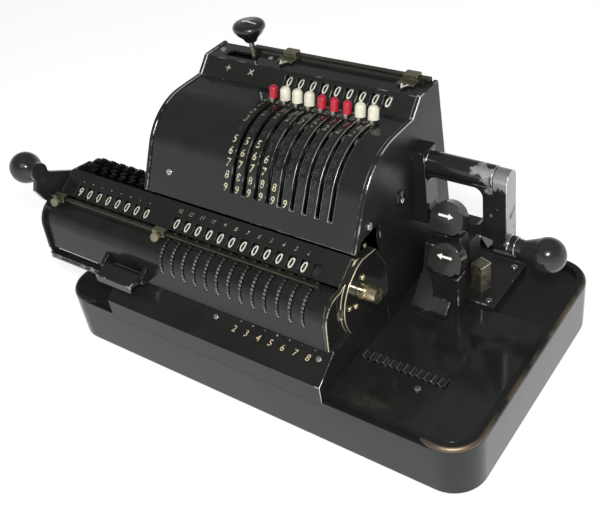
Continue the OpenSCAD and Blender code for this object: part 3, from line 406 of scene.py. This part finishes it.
def piece(name, verts, faces, material, body, slot, bevel=0.0):
    """A new piece that rides on a body, with its edges rounded if a bevel is given."""
    mesh = bpy.data.meshes.new(name)
    mesh.from_pydata([tuple(v) for v in verts], [], faces)
    mesh.materials.append(material)
    bm = bmesh.new()
    bm.from_mesh(mesh)
    bmesh.ops.remove_doubles(bm, verts=bm.verts, dist=1e-7)
    bmesh.ops.recalc_face_normals(bm, faces=bm.faces)
    bm.to_mesh(mesh)
    bm.free()
    obj = link(bpy.data.objects.new(name, mesh))
    if bevel:
        bevelled(obj, bevel, 2)
    finish_mesh(obj.data)
    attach(obj, body)


def apply_modifiers(obj):
    """Turns an object's modifiers into mesh."""
    graph = bpy.context.evaluated_depsgraph_get()
    made = bpy.data.meshes.new_from_object(obj.evaluated_get(graph))
    obj.modifiers.clear()
    obj.data = made


def level_normals(obj):
    """Lets the large faces set the shading, so that flat sides stay flat up to their rounded edges."""
    mod = obj.modifiers.new("normals", "WEIGHTED_NORMAL")
    mod.keep_sharp = True
    mod.use_face_influence = True
    apply_modifiers(obj)


def bevelled(obj, width, segments, clamp=True, angle=32):
    """Rounds an object's edges above an angle in degrees and gives the new faces its last material."""
    mod = obj.modifiers.new("edges", "BEVEL")
    mod.width = width * MM
    mod.segments = segments
    mod.limit_method = "ANGLE"
    mod.angle_limit = math.radians(angle)
    mod.material = len(obj.data.materials) - 1
    mod.use_clamp_overlap = clamp
    mod.loop_slide = False
    mod.face_strength_mode = "FSTR_ALL"
    apply_modifiers(obj)


def dressed(node, width, coat, edge, clamp=True, segments=2, angle=32):
    """A copy of a CAD node with rounded, worn edges that stands for it."""
    source = NODES[node]
    mesh = source.data.copy()
    mesh.materials.clear()
    mesh.materials.append(coat)
    mesh.materials.append(edge)
    bm = bmesh.new()
    bm.from_mesh(mesh)
    bmesh.ops.remove_doubles(bm, verts=bm.verts, dist=2e-6)
    bmesh.ops.dissolve_limit(bm, angle_limit=math.radians(1.5), verts=bm.verts, edges=bm.edges)
    bmesh.ops.connect_verts_concave(bm, faces=bm.faces)
    for face in bm.faces:
        face.material_index = 0
    bm.to_mesh(mesh)
    bm.free()
    obj = link(bpy.data.objects.new(node + "_finished", mesh))
    bevelled(obj, width, segments, clamp, angle)
    finish_mesh(obj.data)
    level_normals(obj)
    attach(obj, source["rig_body"])
    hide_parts(node)


def coated(node, material):
    """A CAD node that keeps its shape and takes a better material."""
    mesh = NODES[node].data
    mesh.materials.clear()
    mesh.materials.append(material)


def lathe(profile, origin, axis, steps=40):
    """Turns a profile of (radius, height) about an axis through origin, and gives verts and faces."""
    turn = Vector(axis).to_track_quat("Z", "Y")
    verts = []
    faces = []
    for r, h in profile:
        for i in range(steps):
            a = 2 * math.pi * i / steps
            verts.append(origin + turn @ Vector((r * math.cos(a), r * math.sin(a), h)) * MM)
    for j in range(len(profile) - 1):
        for i in range(steps):
            k = (i + 1) % steps
            faces.append((j * steps + i, j * steps + k, (j + 1) * steps + k, (j + 1) * steps + i))
    faces.append(tuple(range(steps))[::-1])
    faces.append(tuple(range((len(profile) - 1) * steps, len(profile) * steps)))
    return verts, faces


class Batch:
    """Collects many small meshes into one piece."""

    def __init__(self, name, material, body, slot):
        self.name = name
        self.material = material
        self.body = body
        self.slot = slot
        self.verts = []
        self.faces = []

    def add(self, verts, faces):
        start = len(self.verts)
        self.verts.extend(verts)
        self.faces.extend(tuple(start + i for i in f) for f in faces)

    def build(self, bevel=0.0):
        piece(self.name, self.verts, self.faces, self.material, self.body, self.slot, bevel)


def screw(batch, origin, axis, r, h, turn):
    """A slotted cheese-head screw of radius r and height h: two crowned halves either side of a slot."""
    aim = Vector(axis).to_track_quat("Z", "Y")
    spin = Matrix.Rotation(turn, 3, "Z")

    def placed(points):
        return [origin + aim @ (spin @ Vector(p)) * MM for p in points]

    half = 0.16 * r
    depth = 0.45 * h
    start = math.asin(half / r)
    steps = 14
    for side in (1, -1):
        arc = []
        for i in range(steps + 1):
            a = start + (math.pi - 2 * start) * i / steps
            arc.append((r * math.cos(a), side * r * math.sin(a)))
        rows = []
        for scale, z in ((1.0, -0.2 * h), (1.0, 0.7 * h), (0.86, h)):
            rows.append([(x * scale, max(abs(y) * scale, half) * side, z) for x, y in arc])
        verts = placed(p for row in rows for p in row)
        n = len(arc)
        faces = [(j * n + i, j * n + i + 1, (j + 1) * n + i + 1, (j + 1) * n + i)
                 for j in range(2) for i in range(n - 1)]
        faces.append(tuple(range(2 * n, 3 * n)))
        faces.append((0, n, 2 * n, 3 * n - 1, 2 * n - 1, n - 1))
        batch.add(verts, faces)
    reach = 0.98 * r
    floor = h - depth
    slot_floor = [(-reach, -half, floor), (reach, -half, floor), (reach, half, floor), (-reach, half, floor)]
    batch.add(placed(slot_floor), [(0, 1, 2, 3)])


# Numbers


# Gap between a surface and the paint on it, and the wider one on the housing's sheets
PAINT_LIFT = 0.1
SHEET_LIFT = 0.12
DIAL_STYLE = {"wide": 0.8, "weight": 0.008}


@functools.cache
def glyph(text, weight):
    """Flat outline of a short text, one unit high, centred, as verts and faces."""
    curve = bpy.data.curves.new("glyph", "FONT")
    curve.body = text
    curve.size = 1.0
    curve.offset = weight
    curve.resolution_u = 4
    obj = link(bpy.data.objects.new("glyph", curve))
    graph = bpy.context.evaluated_depsgraph_get()
    mesh = bpy.data.meshes.new_from_object(obj.evaluated_get(graph))
    verts = [v.co.copy() for v in mesh.vertices]
    faces = [tuple(p.vertices) for p in mesh.polygons]
    bpy.data.objects.remove(obj)
    bpy.data.meshes.remove(mesh)
    bpy.data.curves.remove(curve)
    low = [min(v[i] for v in verts) for i in range(2)]
    high = [max(v[i] for v in verts) for i in range(2)]
    tall = high[1] - low[1]
    middle = [(low[i] + high[i]) / 2 for i in range(2)]
    shape = [((v.x - middle[0]) / tall, (v.y - middle[1]) / tall) for v in verts]
    return shape, faces


def stamp(batch, text, tall, place, wide=1.0, slant=0.12, weight=0.012):
    """Writes a text of a height in mm, where place(u, v) gives the point on the surface.
    Wide stretches the text, slant leans it and weight thickens its strokes."""
    shape, faces = glyph(text, weight)
    batch.add([place((u + slant * v) * tall * wide, v * tall) for u, v in shape], faces)


def flat_place(x, y, z, tilt, lift=PAINT_LIFT):
    """A plane that faces the front: u runs along X, v climbs it at a tilt from the level."""
    up = Vector((0, math.cos(tilt), math.sin(tilt)))
    out = Vector((0, -math.sin(tilt), math.cos(tilt)))
    origin = at(x, y, z) + out * lift * MM
    return lambda u, v: origin + Vector((u * MM, 0, 0)) + up * v * MM


def round_place(x, centre, r, angle):
    """A dial's round face: v climbs round the axis from an angle in radians."""
    reach = r + PAINT_LIFT

    def place(u, v):
        a = angle - v / r
        return at(x + u, centre[0] + reach * math.cos(a), centre[1] + reach * math.sin(a))
    return place


def face_place(x, climb):
    """A place on the carriage's number face, some way up its slope from the windows' middle."""
    y = NUMBER[0] + climb * math.cos(FACE_TILT)
    z = NUMBER[1] + climb * math.sin(FACE_TILT)
    return flat_place(x, y, z, FACE_TILT)


def cover_point(x, s, lift):
    """A point on the slotted cover, s mm forward of the crown along the sheet."""
    outer = COVER_R + lift
    if s < 0:
        return at(x, MAIN[0] - s, MAIN[1] + outer - SEAT)
    if s < ARC_LEN:
        a = math.pi / 2 + s / COVER_R
        return at(x, MAIN[0] + outer * math.cos(a), MAIN[1] + outer * math.sin(a))
    a = math.pi - SKIRT_LEAN
    run = s - ARC_LEN
    y = MAIN[0] + (outer - SEAT) * math.cos(a) - run * math.sin(SKIRT_LEAN)
    z = MAIN[1] + (outer - SEAT) * math.sin(a) - run * math.cos(SKIRT_LEAN)
    return at(x, y, z)


def cover_place(x, s):
    """Where a number lies on the slotted cover: v climbs the sheet towards the crown."""
    return lambda u, v: cover_point(x + u, s - v, SHEET_LIFT)


def lever_run(angle):
    """Where the lever's line at an angle in degrees meets the cover, in mm forward of the crown."""
    a = math.radians(angle)
    if a < math.pi / 2:
        return -COVER_R * math.tan(math.pi / 2 - a)
    if a < math.pi - SKIRT_LEAN:
        return COVER_R * (a - math.pi / 2)
    return ARC_LEN + COVER_R * math.tan(a - math.pi + SKIRT_LEAN)


# The cover's numbers stand left of their slots, and from 4 on a little further forward than the lever
COVER_TALL = 5.2
BESIDE_SLOT = 5.2
FORWARD = 0.3
# They are clear in the left columns from the number given here on, and dim up to 2, or 3 at the far left
FIRST_CLEAR = {9: 5, 8: 5, 7: 5, 6: 6, 5: 8, 4: 9}
cover_digits = {
    "clear": Batch("clear_cover_numbers", CLEAR_NUMBER, "machine", "ivory_cap"),
    "dim": Batch("dim_cover_numbers", DIM_NUMBER, "machine", "ivory_cap"),
    "faint": Batch("faint_cover_numbers", FAINT_NUMBER, "machine", "ivory_cap"),
}
for k in range(1, 10):
    for digit in range(10):
        if digit >= FIRST_CLEAR.get(k, 10):
            look = "clear"
        elif digit <= 2 or (k, digit) == (9, 3):
            look = "dim"
        else:
            look = "faint"
        run = lever_run(LEVER_ZERO + LEVER_STEP * digit) + max(0.0, FORWARD * (digit - 3))
        spot = cover_place(column_x(k) - BESIDE_SLOT, run)
        stamp(cover_digits[look], str(digit), COVER_TALL, spot, wide=0.9)
for batch in cover_digits.values():
    batch.build()

# Numbers on dials stand a little left of their column's middle
DIAL_TALL = 7.0
COUNTER_TALL = 6.8
CHECK_LEFT = 0.4
RESULT_LEFT = 0.5
COUNTER_LEFT = 0.9
check_digits = Batch("check_numbers", DIGIT, "machine", "ivory_cap")
check_angle = math.radians(128)
for k in range(1, 10):
    spot = round_place(column_x(k) - CHECK_LEFT, CHECK, CHECK_R, check_angle)
    stamp(check_digits, "0", DIAL_TALL, spot, **DIAL_STYLE)
check_digits.build()

signs = Batch("selector_signs", LABEL, "machine", "ivory_cap")
SIGN_TALL = 4.2
SIGN_LINE = (42.5, 164.0)
for text, x in (("+", -83.0), ("×", -63.5)):
    stamp(signs, text, SIGN_TALL, flat_place(x, *SIGN_LINE, PANEL_TILT, SHEET_LIFT), weight=0.004)
signs.build()

window_angle = math.pi / 2 + FACE_TILT
result_digits = Batch("result_numbers", DIGIT, "carriage", "ivory_cap")
for k in range(2, 14):
    spot = round_place(column_x(k) - RESULT_LEFT, DIAL, DIAL_R, window_angle)
    stamp(result_digits, "0", DIAL_TALL, spot, **DIAL_STYLE)
for k in range(1, 9):
    spot = round_place(counter_x(k) - COUNTER_LEFT, DIAL, DIAL_R, window_angle)
    stamp(result_digits, "9" if k == 8 else "0", COUNTER_TALL, spot, **DIAL_STYLE)
result_digits.build()

LABEL_TALL = 2.7
LABEL_CLIMB = 8.6
DOT_TALL = 0.9
DOT_CLIMB = 7.2
labels = Batch("column_labels", LABEL, "carriage", "ivory_cap")
for k in range(2, 14):
    stamp(labels, str(k), LABEL_TALL, face_place(column_x(k), LABEL_CLIMB), slant=0.3, weight=0.0)
for k in range(1, 9):
    stamp(labels, ".", DOT_TALL, face_place(counter_x(k), DOT_CLIMB))
labels.build()

# The bed's scale runs from 2 to 8, with a dot at the upper right of each number
BED_EIGHT_X = 50.5
BED_TALL = 4.2
BED_LINE = (-79.2, 58.32)
BED_DOT_TALL = 1.0
BED_DOT_LINE = (-74.7, 61.56)
BED_DOT_RIGHT = 2.5
bed_digits = Batch("bed_numbers", SCALE_PAINT, "machine", "ivory_cap")
bed_dots = Batch("bed_dots", LABEL, "machine", "ivory_cap")
for k in range(2, 9):
    x = BED_EIGHT_X - (8 - k) * PITCH
    stamp(bed_digits, str(k), BED_TALL, flat_place(x, *BED_LINE, BED_TILT), slant=0.25, weight=0.0)
    stamp(bed_dots, ".", BED_DOT_TALL, flat_place(x + BED_DOT_RIGHT, *BED_DOT_LINE, BED_TILT))
bed_digits.build()
bed_dots.build()

# Arrows on the keys and the selector


def strip(batch, place, sections):
    """A flat shape that follows a surface, through sections of (u, half width) along u."""
    rows = 4
    verts = []
    for u, half in sections:
        for j in range(rows + 1):
            verts.append(place(u, half * (2 * j / rows - 1)))
    faces = []
    for i in range(len(sections) - 1):
        for j in range(rows):
            a = i * (rows + 1) + j
            faces.append((a, a + 1, a + rows + 2, a + rows + 1))
    batch.add(verts, faces)


def arrow(batch, place, long, sign, breadth=1.0):
    """An arrow along u, with a rounded tail. Sign is the way it points, and breadth scales its width."""
    tail_r = 0.95
    head_long = 3.2
    tail = -long / 2 + tail_r
    neck = long / 2 - head_long
    shaft = []
    for i in range(5):
        a = math.pi / 8 * i
        shaft.append((tail - tail_r * math.cos(a), breadth * (0.05 + 0.8 * math.sin(a))))
    for i in range(1, 6):
        shaft.append((tail + (neck - tail) * i / 5, breadth * 0.75))
    head = [(neck + head_long * i / 4, breadth * (2.0 - 0.49 * i)) for i in range(5)]
    for sections in (shaft, head):
        strip(batch, place, [(sign * u, half) for u, half in sections])


KEY_LEAN = math.radians(22)
KEY_REACH = 4.5
key_front = KEY_REACH * Vector((math.cos(KEY_LEAN), math.sin(KEY_LEAN)))
for body, x, y, z, sign in (("left_key", 94.0, 14.0, 83.0, -1), ("right_key", 88.5, 27.5, 103.0, 1)):
    batch = Batch(body + "_arrow", ARROW, body, "ivory_cap")
    spot = flat_place(x, y - key_front[0], z + key_front[1], math.pi / 2 - KEY_LEAN)
    arrow(batch, spot, 10.0, sign)
    batch.build()


def knob_top(u, v):
    """A point just off the knob's crown, a flat cone, counted from the arrow's middle."""
    x = u + 1.0
    y = v - 0.8
    lift = 0.06
    return at(SELECTOR[0] + x, SELECTOR[1] + y, KNOB_TOP + lift - math.hypot(x, y) / 8)


knob_arrow = Batch("selector_arrow", ARROW, "selector", "ivory_cap")
arrow(knob_arrow, knob_top, 12.5, -1, 0.7)
knob_arrow.build()

# Screws and shaft caps

skirt_out = Vector((0, -math.cos(SKIRT_LEAN), math.sin(SKIRT_LEAN)))
rear_out = Vector((0, 1.0, REAR_LEAN)).normalized()
bed_out = Vector((0, -math.sin(BED_TILT), math.cos(BED_TILT)))
up = (0, 0, 1)
ROUNDING = 0.12
machine_screws = Batch("machine_screws", STEEL, "machine", "bright_steel")
screw(machine_screws, cover_point(-85.3, ARC_LEN + 14.7, 0), skirt_out, 2.3, 1.3, 0.9)
for x, side in PLATES:
    screw(machine_screws, at(x + side, MAIN[0], MAIN[1] - 1.5), (side, 0, 0), 1.8, 1.0, 0.7)
    screw(machine_screws, at(x, -20.5, 118.5), (side, 0, 0), 2.4, 1.2, 1.2)
    screw(machine_screws, at(x, 60.0, 52.0), (side, 0, 0), 2.4, 1.2, 0.3)
for x in (-96.0, -22.0, 52.0):
    for z in (52.0, 158.0):
        y = REAR_TOP_Y + (ROOF_Z - z) * REAR_LEAN
        screw(machine_screws, at(x, y, z), rear_out, 2.4, 1.2, 0.5 + x)
for x, y in ((-105.0, -78.0), (-21.6, -77.1), (57.6, -77.9)):
    z = BED_BACK[1] + (y - BED_BACK[0]) * math.tan(BED_TILT)
    screw(machine_screws, at(x, y, z), bed_out, 1.8, 1.0, 0.6)
screw(machine_screws, at(110.5, -57.4, DECK_Z), up, 2.1, 1.2, 2.2)
KEY_PLATE_Z = DECK_Z + 3
for x, y in ((115.0, 64.0), (114.5, 27.0)):
    screw(machine_screws, at(x, y, KEY_PLATE_Z), up, 2.0, 1.1, 0.05 * x)
screw(machine_screws, at(-98.0, 57.0, ROOF_Z), up, 2.0, 1.0, 1.1)
screw(machine_screws, at(-57.4, 57.8, ROOF_Z), up, 1.8, 0.5, 0.9)
machine_screws.build(ROUNDING)
edge_screw = Batch("side_plate_screw", OLIVE, "machine", "pale_brass")
screw(edge_screw, at(RIGHT_PLATE_X, -27.1, 109.4), (1, 0, 0), 1.6, 0.8, 0.5)
edge_screw.build(ROUNDING)

CAP_PROFILE = [(5.0, -0.5), (5.0, 0.7), (4.4, 1.1), (0.3, 1.2)]
shaft_caps = Batch("shaft_caps", ENAMEL, "machine", "black_enamel")
for x, side in PLATES:
    shaft_caps.add(*lathe(CAP_PROFILE, at(x, *MAIN), (side, 0, 0)))
shaft_caps.build()

CARRIAGE_RIGHT_X = 66.0
CARRIAGE_LEFT_X = -178.0
carriage_screws = Batch("carriage_screws", BRASS, "carriage", "pale_brass")
for y, z in ((-47.4, 79.5), (-53.8, 82.6), (-37.8, 94.6)):
    screw(carriage_screws, at(CARRIAGE_RIGHT_X, y, z), (1, 0, 0), 1.8, 1.4, 0.3 * y)
for y, z in ((-62.0, 90.0), (-30.0, 74.0)):
    screw(carriage_screws, at(CARRIAGE_LEFT_X, y, z), (-1, 0, 0), 2.2, 1.4, 0.3 * y)
carriage_screws.build(ROUNDING)

# Marker knobs and pointers

MARKER_KNOB_PROFILE = [(1.4, -1.0), (1.4, 1.2), (2.9, 1.9), (3.1, 3.4), (2.5, 4.4), (0.6, 4.8)]
MARKER_KNOB_FOOT = (-63.4, 97.5)
MARKER_KNOB_WAY = (0, -0.85, 0.3)
for side, x in (("left", -168.5), ("right", -73.0)):
    verts, faces = lathe(MARKER_KNOB_PROFILE, at(x, *MARKER_KNOB_FOOT), MARKER_KNOB_WAY)
    piece("lower_marker_%s_knob" % side, verts, faces, HORN, "lower_marker_" + side, "pale_brass")
POINTER = ((-2.7, 54.6), (-1.5, 54.6), (0, 51.4), (0, 49.2), (1.5, 54.6), (2.7, 54.6))
POINTER_FACES = [(0, 1, 2, 3), (3, 2, 4, 5)]
POINTER_Z = 170.0
for side, x in (("left", -44.0), ("right", 47.0)):
    tip = [at(x + u, y, POINTER_Z) for u, y in POINTER]
    piece("upper_marker_%s_tip" % side, tip, POINTER_FACES, ARROW, "upper_marker_" + side, "ivory_cap")

# Finishes of the CAD nodes

dressed("base_casting", 0.6, BASE, BASE)
dressed("base_cover_plate", 0.3, ENAMEL, ENAMEL)
dressed("carriage_bed", 0.7, SHELL, BED_EDGE)
for side in ("left", "right"):
    dressed(side + "_side_plate", 0.6, SATIN, EDGE)
dressed("slotted_cover", 0.25, ENAMEL, COVER_EDGE, clamp=False)
dressed("top_panel", 0.25, ENAMEL, SOFT_EDGE, clamp=False)
dressed("rear_cover", 0.4, ENAMEL, SOFT_EDGE)
dressed("crank_bracket", 0.4, BRACKET, BRACKET_EDGE, clamp=False)
dressed("key_block", 0.7, SATIN, SOFT_EDGE, clamp=False)
dressed("stop_block", 0.5, STOP, NICKEL)
dressed("crank_arm", 0.4, ARM, NICKEL, clamp=False)
for side in ("left", "right"):
    dressed(side + "_shift_key", 0.6, GRIP_BLACK, GRIP_BLACK, clamp=False, segments=3,
            angle=50)
dressed("carriage_face", 0.25, ENAMEL, ENAMEL, clamp=False)
dressed("carriage_shell", 0.25, SHELL, SHELL, clamp=False)
dressed("carriage_end_plates", 0.5, ENAMEL, END_EDGE, clamp=False)
dressed("carriage_handle", 0.7, ENAMEL, SOFT_EDGE, clamp=False)
dressed("upper_marker_rail", 0.3, BRONZED, BRONZED)
dressed("lower_marker_rail", 0.3, BRONZED, BRONZED)
dressed("guide_bar", 0.4, ENAMEL, SOFT_EDGE)
dressed("shift_rack", 0.15, DARK_STEEL, STEEL)
for side in ("left", "right"):
    dressed("upper_marker_" + side, 0.3, OLIVE, OLIVE, clamp=False)
    dressed("lower_marker_" + side, 0.3, OLIVE, OLIVE, clamp=False)
coated("bottom_plate", ENAMEL)
coated("rubber_feet", RUBBER)
coated("check_dials", DIAL_BLACK)
coated("number_dials", DIAL_BLACK)
coated("main_shaft", STEEL)
coated("carriage_frame", ENAMEL)
coated("carriage_shafts", STEEL)
coated("counter_gears", DARK_STEEL)
coated("crank_grip", GRIP_BLACK)
coated("counter_clear_lever", GRIP_BLACK)
coated("selector_lever", KNOB)
coated("result_clear_knob", BRASS)
for k in range(1, 10):
    coated("setting_lever_%d" % k, RED if k in RED_LEVERS else IVORY)
for k in range(1, 14):
    coated("thumbwheel_%d" % k, WHEEL_STEEL)

# Floor, light and camera

FLOOR = 6.0
mesh = bpy.data.meshes.new("floor")
corners = [(-FLOOR, -FLOOR, 0), (FLOOR, -FLOOR, 0), (FLOOR, FLOOR, 0), (-FLOOR, FLOOR, 0)]
mesh.from_pydata(corners, [], [(0, 1, 2, 3)])


def shown_ray(tree):
    """1 for rays that show the background: to the camera, off metal and gloss, through glass."""
    path = tree.nodes.new("ShaderNodeLightPath")
    total = path.outputs["Is Camera Ray"]
    for kind in ("Is Glossy Ray", "Is Transmission Ray"):
        either = tree.nodes.new("ShaderNodeMath")
        either.operation = "MAXIMUM"
        tree.links.new(total, either.inputs[0])
        tree.links.new(path.outputs[kind], either.inputs[1])
        total = either.outputs["Value"]
    return total


WHITE = (1, 1, 1, 1)
floor_paint = Shader("floor_paint", Roughness=0.9, Base_Color=(0.9, 0.9, 0.9, 1), Emission_Color=WHITE)
glow = floor_paint.ramp(shown_ray(floor_paint.tree), 0.0, 1.0, 0.0, 0.6)
floor_paint.link(glow, floor_paint.bsdf.inputs["Emission Strength"])
mesh.materials.append(floor_paint.mat)
link(bpy.data.objects.new("floor", mesh))

# The world is white from the horizon down and dims overhead
world = bpy.data.worlds.new("studio")
bpy.context.scene.world = world
world.use_nodes = True
wt = world.node_tree
way = wt.nodes.new("ShaderNodeTexCoord")
height = wt.nodes.new("ShaderNodeSeparateXYZ")
ceiling = wt.nodes.new("ShaderNodeMapRange")
ceiling.inputs["From Min"].default_value = 0.1
ceiling.inputs["From Max"].default_value = 0.45
ceiling.inputs["To Min"].default_value = 1.0
ceiling.inputs["To Max"].default_value = 0.22
wt.links.new(way.outputs["Generated"], height.inputs["Vector"])
wt.links.new(height.outputs["Z"], ceiling.inputs["Value"])
sky = wt.nodes["Background"]
sky.inputs["Color"].default_value = WHITE
wt.links.new(ceiling.outputs["Result"], sky.inputs["Strength"])


def softbox(name, place, aim, size, watts):
    """A rectangular lamp at a place, turned towards aim."""
    lamp = bpy.data.lights.new(name, "AREA")
    lamp.shape = "RECTANGLE"
    lamp.size = size[0]
    lamp.size_y = size[1]
    lamp.energy = watts
    obj = link(bpy.data.objects.new(name, lamp))
    obj.location = place
    obj.rotation_euler = (Vector(aim) - Vector(place)).to_track_quat("-Z", "Y").to_euler()


softbox("key_light", (0.5, -1.0, 1.3), (0, 0, 0.08), (1.0, 0.8), 5)
softbox("front_light", (0.31, -0.33, 0.49), (0.05, 0, 0.08), (0.12, 0.08), 2.3)

# The camera's place and its axes come from the base's outline, the columns and the crank in the photograph
CAMERA_PLACE = (0.32978, -0.36461, 0.42867)
CAMERA_RIGHT = Vector((0.81099688, 0.56959334, -0.13359453))
CAMERA_UP = Vector((-0.26846405, 0.56519939, 0.78004917))
lens = bpy.data.cameras.new("camera")
lens.sensor_width = 36.0
lens.lens = 54.0
lens.clip_start = 0.01
camera = link(bpy.data.objects.new("camera", lens))
turn = Matrix((CAMERA_RIGHT, CAMERA_UP, CAMERA_RIGHT.cross(CAMERA_UP))).transposed()
camera.matrix_world = Matrix.Translation(CAMERA_PLACE) @ turn.to_4x4()
bpy.context.scene.camera = camera
bpy.context.scene.view_settings.view_transform = "Standard"
